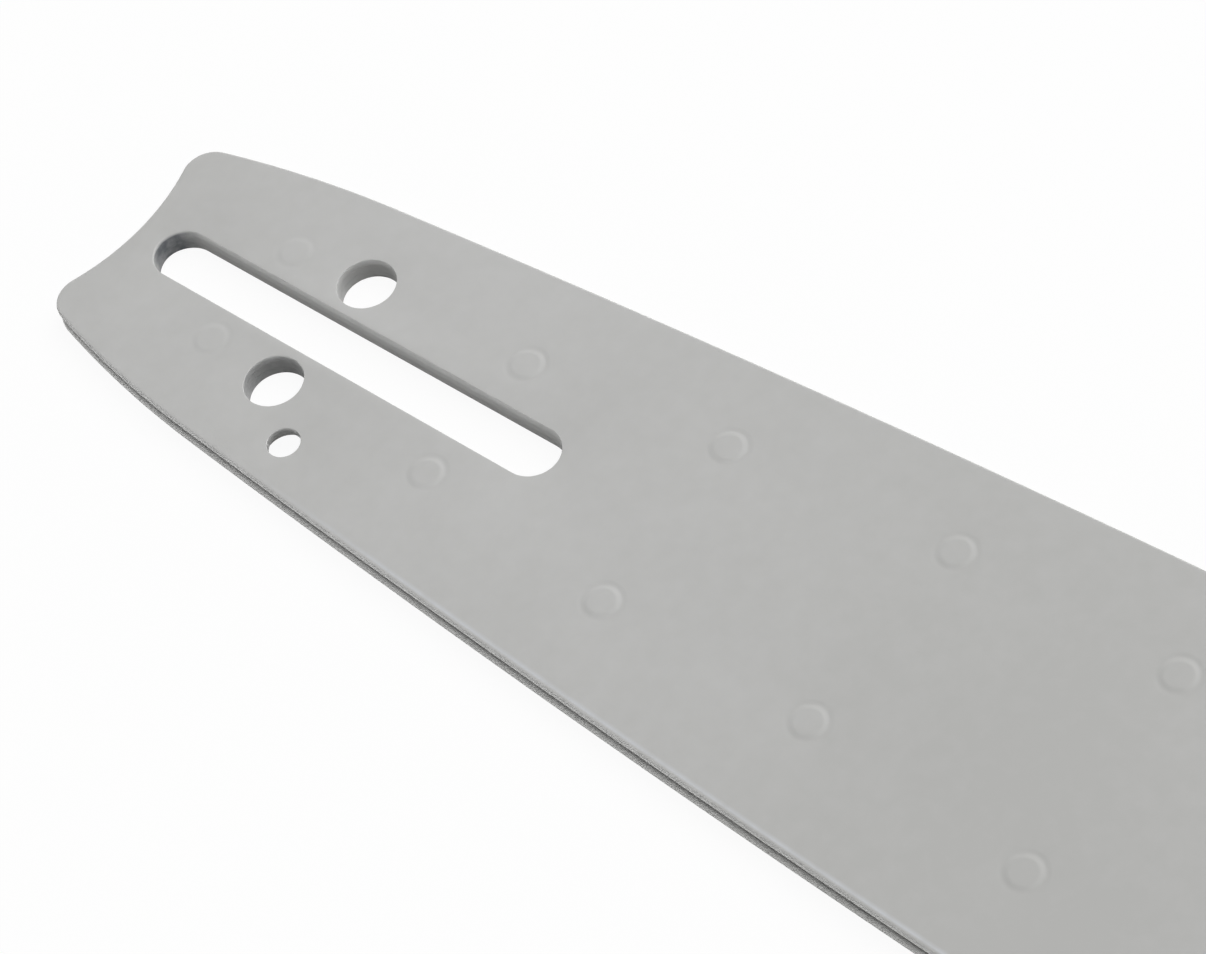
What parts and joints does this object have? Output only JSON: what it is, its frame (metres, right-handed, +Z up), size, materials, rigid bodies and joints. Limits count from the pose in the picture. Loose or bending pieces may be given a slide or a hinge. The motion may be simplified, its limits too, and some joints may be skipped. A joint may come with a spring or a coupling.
{
  "type": "chainsaw guide bar",
  "caption": "Long flat laminated bar that carries a saw chain in an edge groove, with a mounting slot and holes at the hollow tail and a toothed wheel turning on rollers in the round nose.",
  "frame": {"origin": "centre of the stud slot on the lower face, which seats on the saw", "axes": "+Y along the bar from the tail to the nose, +Z up through the plates, +X across the bar"},
  "size_m": [0.0726, 0.5917, 0.0042],
  "materials": {
    "plate_lacquer": "satin pale grey lacquer over steel",
    "core_steel": "bare rolled steel with an oily film",
    "sprocket_steel": "hardened steel, dull grey",
    "bearing_steel": "ground bearing steel",
    "rivet_steel": "rivet steel ground flush"
  },
  "bodies": {
    "bar": {"lower_plate": "plate_lacquer", "core_plate": "core_steel", "upper_plate": "plate_lacquer", "bearing_race": "bearing_steel", "nose_rivets": "rivet_steel"},
    "sprocket": {"nose_sprocket": "sprocket_steel"},
    "rollers": {"roller_01": "bearing_steel", "roller_02": "bearing_steel", "roller_03": "bearing_steel", "roller_04": "bearing_steel", "roller_05": "bearing_steel", "roller_06": "bearing_steel", "roller_07": "bearing_steel", "roller_08": "bearing_steel", "roller_09": "bearing_steel", "roller_10": "bearing_steel", "roller_11": "bearing_steel", "roller_12": "bearing_steel", "roller_13": "bearing_steel", "roller_14": "bearing_steel", "roller_15": "bearing_steel", "roller_16": "bearing_steel", "roller_17": "bearing_steel", "roller_18": "bearing_steel", "roller_19": "bearing_steel", "roller_20": "bearing_steel"}
  },
  "joints": [
    {"name": "sprocket_spin", "type": "hinge", "parent": "bar", "child": "sprocket", "pos_m": [0, 0.5135, 0.00208], "axis": [0, 0, 1], "continuous": true},
    {"name": "roller_orbit", "type": "hinge", "parent": "bar", "child": "rollers", "pos_m": [0, 0.5135, 0.00208], "axis": [0, 0, 1], "continuous": true}
  ],
  "couplings": [
    {"joint": "roller_orbit", "follows": "sprocket_spin", "ratio": 0.57711}
  ]
}
